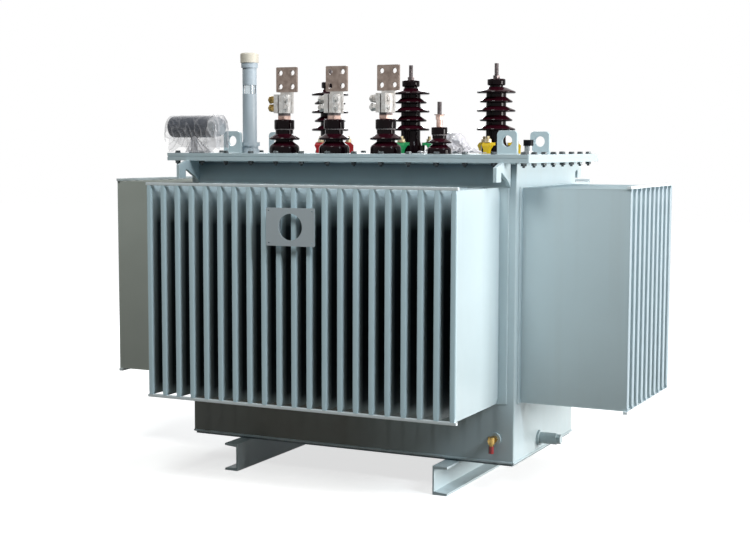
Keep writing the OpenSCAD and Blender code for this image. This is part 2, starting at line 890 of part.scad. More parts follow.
module nameplate_carrier() {
  leg_x = fin_pitch * (long_fins % 2 == 1 ? 1 : 1.5);
  color(paint) {
    translate([0, -carrier_back, carrier_z])
      rotate([90, 0, 0])
        difference() {
          linear_extrude(carrier_sheet) round_rect(carrier_width, carrier_height, 2 * carrier_sheet);
          translate([0, 0, -1]) cylinder(d = carrier_hole, h = carrier_sheet + 2);
          for (x = [-1, 1], z = [-1, 1])
            translate([x * (carrier_width / 2 - rivet_inset), z * (carrier_height / 2 - rivet_inset), -1])
              cylinder(d = rivet_hole, h = carrier_sheet + 2);
        }
    for (x = [-leg_x, leg_x])
      translate([x - fin_thickness / 2, -carrier_back - sliver, carrier_z - 0.4 * carrier_height])
        cube([fin_thickness, carrier_standoff + sliver, 0.8 * carrier_height]);
  }
}

base_channel(-1);  // base_channel_left
base_channel(1);  // base_channel_right
floor_sheet();  // floor_plate
tank_body();
long_fin_wall("front");  // fin_wall_front
long_fin_wall("back");  // fin_wall_back
short_fin_wall("left");  // fin_wall_left
short_fin_wall("right");  // fin_wall_right
fin_bars();
tank_flange();
cover_gasket();
cover_plate();
lifting_lugs();
tank_hooks();
hv_bushing(0);  // hv_bushing_left
hv_bushing(1);  // hv_bushing_middle
hv_bushing(2);  // hv_bushing_right
hv_terminals();
hv_clamps(0, "firebrick");  // hv_clamps_left
hv_clamps(1, "green");  // hv_clamps_middle
hv_clamps(2, "gold");  // hv_clamps_right
lv_bushing(0);  // lv_bushing_left
lv_bushing(1);  // lv_bushing_middle
lv_bushing(2);  // lv_bushing_right
lv_bushing(3);  // neutral_bushing
lv_seals();
lv_caps();
lv_terminals();
lv_connector(0);  // lv_connector_left
lv_connector(1);  // lv_connector_middle
lv_connector(2);  // lv_connector_right
oil_pipe();
sight_glass();
filler_cap();
vent_body();
vent_cap();
tap_changer();
tap_changer_film();
instrument_housing();
instrument_head();
instrument_film();
nameplate_carrier();
sample_valve();
sample_valve_cap();
drain_stub();
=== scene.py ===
import math
import random

import bmesh
import bpy
from mathutils import Matrix, Vector, noise


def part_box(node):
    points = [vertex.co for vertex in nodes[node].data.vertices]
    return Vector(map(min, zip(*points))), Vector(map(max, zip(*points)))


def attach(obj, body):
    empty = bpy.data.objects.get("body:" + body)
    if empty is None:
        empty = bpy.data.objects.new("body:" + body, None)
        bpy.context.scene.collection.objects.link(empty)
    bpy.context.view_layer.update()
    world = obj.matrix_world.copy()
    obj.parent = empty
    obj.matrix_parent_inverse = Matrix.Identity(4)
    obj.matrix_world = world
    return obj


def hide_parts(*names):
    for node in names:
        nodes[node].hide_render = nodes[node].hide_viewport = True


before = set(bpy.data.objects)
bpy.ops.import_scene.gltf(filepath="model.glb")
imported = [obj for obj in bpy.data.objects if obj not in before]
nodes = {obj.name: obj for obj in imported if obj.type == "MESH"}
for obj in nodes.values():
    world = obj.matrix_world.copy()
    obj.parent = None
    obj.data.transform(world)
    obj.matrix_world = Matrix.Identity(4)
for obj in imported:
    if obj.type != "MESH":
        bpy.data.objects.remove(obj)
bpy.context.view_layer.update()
dice = random.Random(11)
print("frame loaded,", len(nodes), "nodes")

# places that several pieces share, read from the frame
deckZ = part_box("cover_plate")[1].z
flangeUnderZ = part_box("tank_flange")[0].z
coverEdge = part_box("cover_plate")[1]
tankEnd = -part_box("tank_body")[0].x
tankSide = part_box("tank_body")[1].y
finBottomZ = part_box("fin_wall_front")[0].z
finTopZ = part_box("fin_wall_front")[1].z
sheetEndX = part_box("fin_wall_front")[1].x
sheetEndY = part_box("fin_wall_right")[1].y
finReach = -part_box("fin_wall_front")[0].y - tankSide
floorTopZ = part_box("floor_plate")[1].z
palmHeight = 0.073  # drilled part of the palm connectors
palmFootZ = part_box("lv_connector_left")[1].z - palmHeight
lastFin = {"x": 0.4600, "y": 0.2100}  # just inside the outer faces of the last fins


def middleOf(node):
    low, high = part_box(node)
    return (low + high) / 2


# wiring helpers for materials
def addNode(tree, kind, sockets=None, **settings):
    node = tree.nodes.new(kind)
    for key, value in settings.items():
        setattr(node, key, value)
    for key, value in (sockets or {}).items():
        if isinstance(value, bpy.types.NodeSocket):
            tree.links.new(value, node.inputs[key])
        else:
            node.inputs[key].default_value = value
    return node


def noiseAt(tree, where, scale, detail=2.0, stretch=None):
    if stretch:
        where = addNode(tree, "ShaderNodeMapping", {"Vector": where, "Scale": stretch}).outputs[0]
    sockets = {"Vector": where, "Scale": scale, "Detail": detail}
    return addNode(tree, "ShaderNodeTexNoise", sockets).outputs["Fac"]


def mathAt(tree, operation, first, second):
    return addNode(tree, "ShaderNodeMath", {0: first, 1: second}, operation=operation).outputs[0]


def rangeAt(tree, value, low, high, toLow=0.0, toHigh=1.0):
    sockets = {"Value": value, "From Min": low, "From Max": high, "To Min": toLow, "To Max": toHigh}
    return addNode(tree, "ShaderNodeMapRange", sockets).outputs[0]


def blendAt(tree, first, share, second):
    parts = [mathAt(tree, "MULTIPLY", value, part) for value, part in ((first, share), (second, 1 - share))]
    return mathAt(tree, "ADD", *parts)


# how much a surface faces up, from 0 at the low slope to 1 at the high one
def upAt(tree, low, high, most=1.0):
    normal = tree.nodes.new("ShaderNodeNewGeometry").outputs["Normal"]
    rise = addNode(tree, "ShaderNodeSeparateXYZ", {0: normal}).outputs[2]
    return rangeAt(tree, rise, low, high, 0.0, most)


def mixAt(tree, factor, first, second, blend="MIX"):
    mix = addNode(tree, "ShaderNodeMix", data_type="RGBA", blend_type=blend)
    for slot, value in ((0, factor), (6, first), (7, second)):
        if isinstance(value, bpy.types.NodeSocket):
            tree.links.new(value, mix.inputs[slot])
        else:
            mix.inputs[slot].default_value = value
    return mix.outputs[2]


def newGroup(name, inputs, outputs):
    tree = bpy.data.node_groups.new(name, "ShaderNodeTree")
    for label, value in inputs.items():
        kind = "NodeSocketColor" if isinstance(value, tuple) else "NodeSocketFloat"
        tree.interface.new_socket(label, in_out="INPUT", socket_type=kind).default_value = value
    for label in outputs:
        kind = "NodeSocketColor" if label == "Colour" else "NodeSocketFloat"
        tree.interface.new_socket(label, in_out="OUTPUT", socket_type=kind)
    given = tree.nodes.new("NodeGroupInput").outputs
    where = tree.nodes.new("ShaderNodeTexCoord").outputs["Object"]
    result = tree.nodes.new("NodeGroupOutput").inputs
    return tree, given, where, result


# how deep a point lies between the fins, 0 near the tips and on the open faces, 1 some way in,
# and where the tips are; the mask for painted shade between the fins, faded near their top and foot, and for
# painted light on the tips
gapShadeLook = {"darkest": 0.030, "palest": 0.007, "tip": 0.006, "litTop": (0.105, 0.025),
           "litFoot": (0.005, 0.030), "footShare": 0.4}


def finHollow(tree, where, look=gapShadeLook):
    place = addNode(tree, "ShaderNodeVectorMath", {0: where}, operation="ABSOLUTE").outputs[0]
    axes = addNode(tree, "ShaderNodeSeparateXYZ", {0: place}).outputs
    longWall = (axes[1], tankSide, axes[0], lastFin["x"])
    endWall = (axes[0], tankEnd, axes[1], lastFin["y"])
    hollow, tips = 0.0, 0.0
    for out, wall, side, last in (longWall, endWall):
        depth = mathAt(tree, "SUBTRACT", out, wall)
        outside = mathAt(tree, "GREATER_THAN", depth, 0.0)
        between = mathAt(tree, "MULTIPLY", outside, mathAt(tree, "LESS_THAN", side, last))
        sunk = rangeAt(tree, depth, finReach - look["darkest"], finReach - look["palest"], 1.0, 0.0)
        hollow = mathAt(tree, "MAXIMUM", mathAt(tree, "MULTIPLY", between, sunk), hollow)
        tip = rangeAt(tree, depth, finReach - look["tip"], finReach)
        tips = mathAt(tree, "MAXIMUM", mathAt(tree, "MULTIPLY", outside, tip), tips)
    (topStart, topEnd), (footStart, footEnd) = look["litTop"], look["litFoot"]
    belowTop = rangeAt(tree, axes[2], finTopZ - topStart, finTopZ - topEnd, 1.0, 0.0)
    aboveFoot = rangeAt(tree, axes[2], finBottomZ + footStart, finBottomZ + footEnd, look["footShare"], 1.0)
    return mathAt(tree, "MULTIPLY", hollow, mathAt(tree, "MULTIPLY", belowTop, aboveFoot)), tips


# painted shade on the long walls below the fins, thinning out to the right, and painted shade under the
# flange
beltShadeLook = {"shadeTop": (-0.01, 0.02), "thinsOut": (0.0, 0.42), "flangeShadeFrom": 0.016, "flangeShadeTo": 0.003,
            "skin": 0.002}


def beltShadeMasks(tree, where, look=beltShadeLook):
    axes = addNode(tree, "ShaderNodeSeparateXYZ", {0: where}).outputs
    low = rangeAt(tree, axes[2], finBottomZ + look["shadeTop"][0], finBottomZ + look["shadeTop"][1], 1.0, 0.0)
    left = rangeAt(tree, axes[0], *look["thinsOut"], 1.0, 0.0)
    high = rangeAt(tree, axes[2], finTopZ + look["flangeShadeFrom"], flangeUnderZ - look["flangeShadeTo"])
    outer = mathAt(tree, "GREATER_THAN", mathAt(tree, "ABSOLUTE", axes[1], 0.0), tankSide - look["skin"])
    below = mathAt(tree, "MULTIPLY", mathAt(tree, "MULTIPLY", low, left), outer)
    return below, mathAt(tree, "MULTIPLY", high, outer)


# uneven sprayed or brushed coat: cloudy shade, faint runs, dust on what faces up, orange peel,
# painted shade between the fins and painted light on their tips, painted shade on the belts below the fins
# and under the flange
noTone = (1, 1, 1, 1)
coatShades = {"darker": (0.62, 0.64, 0.66, 1), "belowFinShade": (0.17, 0.14, 0.10, 1), "underFlangeShade": (0.06, 0.10, 0.13, 1)}


def makeSprayedCoat(shades):
    tree, given, where, result = newGroup(
        "sprayedCoat",
        {"Colour": (0.5, 0.5, 0.5, 1), "Dust Colour": (0.5, 0.5, 0.5, 1), "Shade": 0.1, "Runs": 0.1,
         "Dust": 0.1, "Gap Shading": noTone, "Tip Shading": noTone, "Belt Shade": 0.0, "Roughness": 0.4},
        ("Colour", "Roughness", "Height"),
    )
    cloud = noiseAt(tree, where, 3.1, 5.0)
    fine = noiseAt(tree, where, 34.0, 4.0)
    run = noiseAt(tree, where, 1.0, 3.0, stretch=(26.0, 26.0, 1.3))
    peel = noiseAt(tree, where, 420.0, 1.0)
    shadeMask = mathAt(tree, "MULTIPLY", rangeAt(tree, cloud, 0.34, 0.68), given["Shade"])
    runMask = mathAt(tree, "MULTIPLY", rangeAt(tree, run, 0.52, 0.74), given["Runs"])
    colour = mixAt(tree, shadeMask, given["Colour"],
                   mixAt(tree, 1.0, given["Colour"], shades["darker"], "MULTIPLY"))
    colour = mixAt(tree, runMask, colour, given["Dust Colour"])
    settled = mathAt(tree, "MULTIPLY", upAt(tree, 0.5, 0.95), rangeAt(tree, fine, 0.35, 0.65))
    dustMask = mathAt(tree, "MULTIPLY", settled, given["Dust"])
    colour = mixAt(tree, dustMask, colour, given["Dust Colour"])
    # painted shade between the fins and painted highlight on their tips; the lit end's look turns these into
    # painted light in the gaps and painted shade on the tips
    hollow, tips = finHollow(tree, where)
    gapShaded = mixAt(tree, 1.0, colour, given["Gap Shading"], "MULTIPLY")
    tipLit = mixAt(tree, 1.0, colour, given["Tip Shading"], "MULTIPLY")
    colour = mixAt(tree, hollow, mixAt(tree, tips, colour, tipLit), gapShaded)
    # painted shade below the fins and under the flange
    below, under = beltShadeMasks(tree, where)
    belowFinShade = mixAt(tree, 1.0, colour, shades["belowFinShade"], "MULTIPLY")
    underFlangeShade = mixAt(tree, 1.0, colour, shades["underFlangeShade"], "MULTIPLY")
    uneven = mathAt(tree, "MULTIPLY", given["Belt Shade"], rangeAt(tree, cloud, 0.25, 0.75, 0.85, 1.0))
    colour = mixAt(tree, mathAt(tree, "MULTIPLY", below, uneven), colour, belowFinShade)
    colour = mixAt(tree, mathAt(tree, "MULTIPLY", under, uneven), colour, underFlangeShade)
    tree.links.new(colour, result["Colour"])
    rougher = mathAt(tree, "ADD", given["Roughness"], rangeAt(tree, fine, 0.3, 0.7, -0.06, 0.08))
    tree.links.new(mathAt(tree, "ADD", rougher, mathAt(tree, "MULTIPLY", dustMask, 0.3)), result["Roughness"])
    tree.links.new(blendAt(tree, peel, 0.35, fine), result["Height"])
    return tree


# handled metal: blotchy tarnish and fine scratches along one way
def makeTarnish():
    tree, given, where, result = newGroup(
        "tarnish",
        {"Colour": (0.5, 0.5, 0.5, 1), "Tarnish Colour": (0.3, 0.3, 0.3, 1), "Amount": 0.5, "Roughness": 0.35,
         "Blotch Size": 60.0},
        ("Colour", "Roughness", "Height"),
    )
    blotch = noiseAt(tree, where, given["Blotch Size"], 5.0)
    scratch = noiseAt(tree, where, 1.0, 2.0, stretch=(900.0, 900.0, 60.0))
    mask = mathAt(tree, "MULTIPLY", rangeAt(tree, blotch, 0.36, 0.66), given["Amount"])
    colour = mixAt(tree, mask, given["Colour"], given["Tarnish Colour"])
    bared = rangeAt(tree, scratch, 0.55, 0.75, 0.0, 0.25)
    tree.links.new(mixAt(tree, bared, colour, given["Colour"]), result["Colour"])
    rough = mathAt(tree, "ADD", given["Roughness"], mathAt(tree, "MULTIPLY", mask, 0.25))
    grooves = rangeAt(tree, scratch, 0.3, 0.7, -0.05, 0.08)
    tree.links.new(mathAt(tree, "ADD", rough, grooves), result["Roughness"])
    tree.links.new(blendAt(tree, scratch, 0.5, blotch), result["Height"])
    return tree


# fired glaze: colour that pools, paler and redder on what faces up, partly thinner glaze and partly painted
# sheen of light from above, fine specks and a slow ripple
def makeFiredGlaze():
    tree, given, where, result = newGroup(
        "firedGlaze", {"Colour": (0.1, 0, 0, 1), "Thin Lit Colour": (0.2, 0, 0, 1), "Roughness": 0.1},
        ("Colour", "Roughness", "Height"),
    )
    pool = noiseAt(tree, where, 28.0, 3.0)
    speck = noiseAt(tree, where, 260.0, 2.0)
    # painted sheen: up-facing slopes take the thin colour, partly for thinning glaze, partly as light from
    # above
    slope = upAt(tree, 0.15, 0.85, 0.8)
    thinAndLit = mathAt(tree, "MULTIPLY", slope, rangeAt(tree, pool, 0.25, 0.7, 0.5, 1.0))
    colour = mixAt(tree, thinAndLit, given["Colour"], given["Thin Lit Colour"])
    specks = rangeAt(tree, speck, 0.62, 0.78, 0.0, 0.5)
    tree.links.new(mixAt(tree, specks, colour, given["Colour"]), result["Colour"])
    ripple = rangeAt(tree, pool, 0.3, 0.7, -0.03, 0.05)
    tree.links.new(mathAt(tree, "ADD", given["Roughness"], ripple), result["Roughness"])
    tree.links.new(pool, result["Height"])
    return tree


# crumpled film: broad hazy patches and a few pale creases between them
def makeCrumple():
    tree, given, where, result = newGroup(
        "crumple", {"Size": 24.0, "Clear": 0.1, "Milky": 0.6}, ("Alpha", "Height"))
    sway = {"Vector": where, "Scale": 14.0, "Detail": 2.0}
    bend = addNode(tree, "ShaderNodeTexNoise", sway).outputs["Color"]
    bent = addNode(tree, "ShaderNodeMix", {0: 0.08, 4: where, 5: bend}, data_type="VECTOR").outputs[1]
    drawn = {"Vector": bent, "Scale": (0.7, 1.0, 1.0), "Rotation": (0.3, 0.6, 0.2)}
    sockets = {"Vector": addNode(tree, "ShaderNodeMapping", drawn).outputs[0], "Scale": given["Size"]}
    cell = addNode(tree, "ShaderNodeTexVoronoi", sockets, feature="F1").outputs[0]
    crease = addNode(tree, "ShaderNodeTexVoronoi", sockets, feature="DISTANCE_TO_EDGE").outputs[0]
    haze = rangeAt(tree, noiseAt(tree, where, 9.0, 2.0), 0.40, 0.66)
    line = mathAt(tree, "MULTIPLY", rangeAt(tree, crease, 0.0, 0.07, 1.0, 0.0),
                  rangeAt(tree, noiseAt(tree, where, 22.0, 1.0), 0.50, 0.62))
    spread = mathAt(tree, "SUBTRACT", given["Milky"], given["Clear"])
    veil = mathAt(tree, "MAXIMUM", mathAt(tree, "MULTIPLY", line, 0.6), haze)
    shown = mathAt(tree, "ADD", given["Clear"], mathAt(tree, "MULTIPLY", spread, veil))
    tree.links.new(shown, result["Alpha"])
    tree.links.new(mathAt(tree, "ADD", cell, mathAt(tree, "MULTIPLY", line, 0.2)), result["Height"])
    return tree


sprayedCoat = makeSprayedCoat(coatShades)
tarnish = makeTarnish()
firedGlaze = makeFiredGlaze()
crumple = makeCrumple()
print("shared finishes built")


def srgb(red, green, blue):
    def linear(value):
        value /= 255
        return value / 12.92 if value <= 0.04045 else ((value + 0.055) / 1.055) ** 2.4
    return (linear(red), linear(green), linear(blue), 1.0)


def finishedMaterial(name, group, groupValues, bump, plain):
    material = bpy.data.materials.new(name)
    material.use_nodes = True
    tree = material.node_tree
    shader = tree.nodes["Principled BSDF"]
    effect = addNode(tree, "ShaderNodeGroup", node_tree=group)
    for key, value in groupValues.items():
        effect.inputs[key].default_value = value
    for out, socket in (("Colour", "Base Color"), ("Roughness", "Roughness"), ("Alpha", "Alpha")):
        if out in effect.outputs:
            tree.links.new(effect.outputs[out], shader.inputs[socket])
    sockets = {"Height": effect.outputs["Height"], "Distance": bump, "Strength": 0.6}
    tree.links.new(addNode(tree, "ShaderNodeBump", sockets).outputs[0], shader.inputs["Normal"])
    for key, value in plain.items():
        shader.inputs[key].default_value = value
    return material


def coatMaterial(name, look):
    values = {"Colour": look["colour"], "Dust Colour": look["dust"], "Shade": look["shade"],
              "Runs": look["runs"], "Dust": look["dusty"], "Gap Shading": look.get("gapShading", noTone),
              "Tip Shading": look.get("tipShading", noTone), "Belt Shade": look.get("beltShade", 0.0),
              "Roughness": look["rough"]}
    plain = {"Coat Weight": look["coat"], "Coat Roughness": 0.25,
             "Specular IOR Level": look.get("shine", 0.25)}
    return finishedMaterial(name, sprayedCoat, values, look["bump"], plain)


def metalMaterial(name, look, bump=0.0002):
    values = {"Colour": look["colour"], "Tarnish Colour": look["tarnish"], "Amount": look["amount"],
              "Roughness": look["rough"], "Blotch Size": look["blotch"]}
    return finishedMaterial(name, tarnish, values, bump, {"Metallic": look["metallic"]})


# a piece of two finishes that meet at a height: cast clamp below, rolled palm above
def splitMaterial(name, lower, upper, height, seamHalf=0.0015):
    material = metalMaterial(name, lower)
    tree = material.node_tree
    shader = tree.nodes["Principled BSDF"]
    below = shader.inputs["Base Color"].links[0].from_socket
    above = addNode(tree, "ShaderNodeGroup", node_tree=tarnish)
    for key, value in (("Colour", "colour"), ("Tarnish Colour", "tarnish"), ("Amount", "amount"),
                       ("Blotch Size", "blotch")):
        above.inputs[key].default_value = upper[value]
    where = addNode(tree, "ShaderNodeTexCoord").outputs["Object"]
    level = addNode(tree, "ShaderNodeSeparateXYZ", {0: where}).outputs[2]
    mask = rangeAt(tree, level, height - seamHalf, height + seamHalf)
    tree.links.new(mixAt(tree, mask, below, above.outputs["Colour"]), shader.inputs["Base Color"])
    return material


tankPaintLook = {"colour": srgb(200, 216, 221), "dust": srgb(178, 182, 176), "shade": 0.14, "runs": 0.10,
                 "dusty": 0.10, "rough": 0.36, "bump": 0.00025, "coat": 0.0}
# fin walls: painted shade between the fins, painted highlight on their tips
finPaintLook = {**tankPaintLook, "gapShading": (0.04, 0.05, 0.06, 1), "tipShading": (1.19, 1.29, 1.34, 1)}
# fins on the lit end: painted light in the gaps, painted shade on the tips
litFinLook = {**tankPaintLook, "gapShading": (1.42, 1.36, 1.34, 1), "tipShading": (0.64, 0.68, 0.72, 1)}
# tank walls: painted shade on the belts below the fins and under the flange
bodyPaintLook = {**tankPaintLook, "beltShade": 1.0}
# fin bars painted paler all over so their tops show as lit: painted light
litBarPaintLook = {**tankPaintLook, "colour": srgb(236, 244, 247), "shade": 0.08, "dusty": 0.0}
# left fin wall darker and browner: partly dust, partly painted shade
dustyShadedFinLook = {**finPaintLook, "colour": srgb(186, 192, 184), "shade": 0.3, "runs": 0.2}
carrierPaintLook = {**tankPaintLook, "colour": srgb(196, 206, 212), "shade": 0.25, "rough": 0.45}
pipePaintLook = {**tankPaintLook, "colour": srgb(188, 200, 209), "shade": 0.12}
bottomPaintLook = {**tankPaintLook, "colour": srgb(120, 134, 140), "shade": 0.3, "dusty": 0.0}
redEnamelLook = {"colour": srgb(178, 22, 30), "dust": srgb(120, 40, 40), "shade": 0.4, "runs": 0.1,
                 "dusty": 0.05, "rough": 0.28, "bump": 0.0006, "coat": 0.3}
greenEnamelLook = {**redEnamelLook, "colour": srgb(36, 160, 92), "dust": srgb(30, 100, 70)}
yellowEnamelLook = {**redEnamelLook, "colour": srgb(228, 190, 30), "dust": srgb(150, 120, 40)}
creamPlasticLook = {"colour": srgb(232, 224, 208), "dust": srgb(190, 176, 150), "shade": 0.15, "runs": 0.12,
                    "dusty": 0.2, "rough": 0.45, "bump": 0.0002, "coat": 0.0}
blackPlasticLook = {**creamPlasticLook, "colour": srgb(10, 11, 16), "dust": srgb(26, 27, 32), "dusty": 0.1,
                    "shine": 0.08}
greyPlasticLook = {**creamPlasticLook, "colour": srgb(74, 78, 88), "dust": srgb(110, 112, 116), "rough": 0.38}
palePlasticLook = {**creamPlasticLook, "colour": srgb(192, 196, 200), "rough": 0.3}
redCapLook = {**redEnamelLook, "colour": srgb(150, 24, 28), "rough": 0.35}
sealLook = {**creamPlasticLook, "colour": srgb(150, 140, 140), "dust": srgb(110, 104, 104), "rough": 0.6}
palmLook = {"colour": srgb(158, 140, 130), "tarnish": srgb(112, 94, 84), "amount": 0.7, "rough": 0.44,
            "blotch": 70.0, "metallic": 0.6}
clampCastLook = {"colour": srgb(214, 211, 208), "tarnish": srgb(158, 146, 136), "amount": 0.55, "rough": 0.40,
                 "blotch": 80.0, "metallic": 0.3}
copperLook = {"colour": srgb(216, 186, 174), "tarnish": srgb(150, 112, 98), "amount": 0.6, "rough": 0.42,
              "blotch": 90.0, "metallic": 0.6}
brassLook = {"colour": srgb(172, 144, 84), "tarnish": srgb(78, 62, 34), "amount": 0.8, "rough": 0.32,
             "blotch": 90.0, "metallic": 0.85}
zincLook = {"colour": srgb(168, 172, 174), "tarnish": srgb(104, 106, 106), "amount": 0.6, "rough": 0.38,
            "blotch": 120.0, "metallic": 0.8}
boltLook = {**zincLook, "colour": srgb(100, 106, 108), "tarnish": srgb(44, 48, 50), "amount": 0.85}
darkStudLook = {**zincLook, "colour": srgb(96, 88, 88), "tarnish": srgb(44, 38, 40), "amount": 0.7}
creamNutLook = {**zincLook, "colour": srgb(214, 200, 164), "tarnish": srgb(158, 136, 96), "metallic": 0.6}

neutralNutZ = deckZ + 0.1085  # copper nut below, dark stud above
coats = {
    "tankPaint": tankPaintLook, "bodyPaint": bodyPaintLook, "litBarPaint": litBarPaintLook,
    "finPaint": finPaintLook, "litFinPaint": litFinLook, "dustyShadedFinPaint": dustyShadedFinLook,
    "carrierPaint": carrierPaintLook, "pipePaint": pipePaintLook, "bottomPaint": bottomPaintLook,
    "redEnamel": redEnamelLook, "greenEnamel": greenEnamelLook, "yellowEnamel": yellowEnamelLook,
    "creamPlastic": creamPlasticLook, "blackPlastic": blackPlasticLook, "greyPlastic": greyPlasticLook,
    "palePlastic": palePlasticLook, "redCap": redCapLook, "sealRubber": sealLook,
}
metals = {
    "castClamp": clampCastLook, "brass": brassLook, "zinc": zincLook, "boltSteel": boltLook,
    "darkStud": darkStudLook, "creamNut": creamNutLook,
}
paints = {name: coatMaterial(name, look) for name, look in coats.items()}
paints.update({name: metalMaterial(name, look) for name, look in metals.items()})
paints["palmConnector"] = splitMaterial("palmConnector", clampCastLook, palmLook, palmFootZ)
paints["studCopper"] = splitMaterial("studCopper", copperLook, darkStudLook, neutralNutZ)

glazeLook = {"colour": srgb(15, 4, 8), "thinAndLit": srgb(62, 15, 28), "rough": 0.05, "bump": 0.0003, "shine": 0.09}
paints["brownGlaze"] = finishedMaterial(
    "brownGlaze", firedGlaze,
    {"Colour": glazeLook["colour"], "Thin Lit Colour": glazeLook["thinAndLit"], "Roughness": glazeLook["rough"]},
    glazeLook["bump"], {"Specular IOR Level": glazeLook["shine"]})

filmLook = {"colour": srgb(222, 218, 222), "clearFilm": (0.05, 0.34, 0.70), "milkyFilm": (0.60, 0.88, 0.95),
            "size": 24.0, "bump": 0.004, "rough": 0.14}


# film hides more of what is behind it where it turns away from the eye
def makeFilm(name, look):
    clear, milky, edge = look[name]
    values = {"Size": look["size"], "Clear": clear, "Milky": milky}
    plain = {"Base Color": look["colour"], "Roughness": look["rough"], "Specular IOR Level": 0.5}
    material = finishedMaterial(name, crumple, values, look["bump"], plain)
    tree = material.node_tree
    shader = tree.nodes["Principled BSDF"]
    veil = shader.inputs["Alpha"].links[0].from_socket
    relief = shader.inputs["Normal"].links[0].from_socket
    slant = addNode(tree, "ShaderNodeLayerWeight", {"Blend": 0.4, "Normal": relief}).outputs["Facing"]
    edges = rangeAt(tree, slant, 0.25, 0.85, 0.0, edge)
    gathered = addNode(tree, "ShaderNodeAttribute", attribute_name="gathered").outputs["Fac"]
    shown = mathAt(tree, "MAXIMUM", mathAt(tree, "MAXIMUM", veil, edges), gathered)
    tree.links.new(shown, shader.inputs["Alpha"])
    return material


for name in ("clearFilm", "milkyFilm"):
    paints[name] = makeFilm(name, filmLook)

gaugeGlassLook = {"colour": srgb(214, 226, 232), "clear": 0.85, "bend": 1.48, "streaks": 70.0,
                  "rough": (0.03, 0.22)}


def makeGaugeGlass(look):
    material = bpy.data.materials.new("gaugeGlass")
    material.use_nodes = True
    tree = material.node_tree
    shader = tree.nodes["Principled BSDF"]
    for key, value in (("Base Color", "colour"), ("Transmission Weight", "clear"), ("IOR", "bend")):
        shader.inputs[key].default_value = look[value]
    streak = noiseAt(tree, addNode(tree, "ShaderNodeTexCoord").outputs["Object"], look["streaks"], 3.0)
    tree.links.new(rangeAt(tree, streak, 0.35, 0.7, *look["rough"]), shader.inputs["Roughness"])
    return material


paints["gaugeGlass"] = makeGaugeGlass(gaugeGlassLook)
print("materials built,", len(paints))


# smooth shading that stops at sharp edges
def makeSmoothByAngle(sharpest=32):
    tree = bpy.data.node_groups.new("smoothByAngle", "GeometryNodeTree")
    tree.interface.new_socket("Geometry", in_out="INPUT", socket_type="NodeSocketGeometry")
    tree.interface.new_socket("Geometry", in_out="OUTPUT", socket_type="NodeSocketGeometry")
    given = tree.nodes.new("NodeGroupInput").outputs[0]
    bare = addNode(tree, "GeometryNodeRemoveAttribute", {"Geometry": given, "Name": "custom_normal"})
    sockets = {0: bare.outputs[0], "Shade Smooth": True}
    faces = addNode(tree, "GeometryNodeSetShadeSmooth", sockets, domain="FACE")
    bend = tree.nodes.new("GeometryNodeInputMeshEdgeAngle").outputs[0]
    soft = addNode(tree, "FunctionNodeCompare", {0: bend, 1: math.radians(sharpest)}, operation="LESS_EQUAL")
    sockets = {0: faces.outputs[0], "Shade Smooth": soft.outputs[0]}
    edges = addNode(tree, "GeometryNodeSetShadeSmooth", sockets, domain="EDGE")
    tree.links.new(edges.outputs[0], tree.nodes.new("NodeGroupOutput").inputs[0])
    return tree


smoothByAngle = makeSmoothByAngle()


# gives a node its finish, joins its faces and softens its edges
def dress(node, paint, softEdge=0.0):
    piece = nodes[node]
    piece.data.materials.clear()
    piece.data.materials.append(paints[paint])
    weld = piece.modifiers.new("weld", "WELD")
    weld.merge_threshold = 0.00001
    if softEdge:
        bevel = piece.modifiers.new("softEdge", "BEVEL")
        bevel.width, bevel.segments = softEdge, 2
        bevel.limit_method, bevel.angle_limit = "ANGLE", math.radians(40)
    piece.modifiers.new("smooth", "NODES").node_group = smoothByAngle
    if softEdge:
        piece.modifiers.new("even", "WEIGHTED_NORMAL").keep_sharp = True


# which node has which finish, with the width of its softened edges
finishes = {
    "bodyPaint": {"tank_body": 0.0},
    "litBarPaint": {"fin_bars": 0.0012},
    "tankPaint": {"base_channel_left": 0.0012, "base_channel_right": 0.0012, "tank_flange": 0.0010,
                  "cover_gasket": 0.0, "cover_plate": 0.0012, "lifting_lugs": 0.0010, "tank_hooks": 0.0010,
                  "drain_stub": 0.0010},
    "finPaint": {"fin_wall_front": 0.0, "fin_wall_back": 0.0},
    "litFinPaint": {"fin_wall_right": 0.0},
    "dustyShadedFinPaint": {"fin_wall_left": 0.0},
    "carrierPaint": {"nameplate_carrier": 0.0},
    "bottomPaint": {"floor_plate": 0.0008},
    "brownGlaze": {"hv_bushing_left": 0.0, "hv_bushing_middle": 0.0, "hv_bushing_right": 0.0,
                   "lv_bushing_left": 0.0, "lv_bushing_middle": 0.0, "lv_bushing_right": 0.0,
                   "neutral_bushing": 0.0, "lv_caps": 0.0},
    "darkStud": {"hv_terminals": 0.0006},
    "redEnamel": {"hv_clamps_left": 0.0016},
    "greenEnamel": {"hv_clamps_middle": 0.0016},
    "yellowEnamel": {"hv_clamps_right": 0.0016},
    "sealRubber": {"lv_seals": 0.0006},
    "studCopper": {"lv_terminals": 0.0006},
    "palmConnector": {"lv_connector_left": 0.0008, "lv_connector_middle": 0.0008,
                      "lv_connector_right": 0.0008},
    "pipePaint": {"oil_pipe": 0.0008},
    "gaugeGlass": {"sight_glass": 0.0},
    "creamPlastic": {"filler_cap": 0.0},
    "zinc": {"vent_body": 0.0006, "tap_changer": 0.0010},
    "blackPlastic": {"vent_cap": 0.0020},
    "greyPlastic": {"instrument_housing": 0.0},
    "palePlastic": {"instrument_head": 0.0020},
    "brass": {"sample_valve": 0.0006},
    "redCap": {"sample_valve_cap": 0.0015},
}
for paint, members in finishes.items():
    for node, softEdge in members.items():
        dress(node, paint, softEdge)
print("nodes dressed")


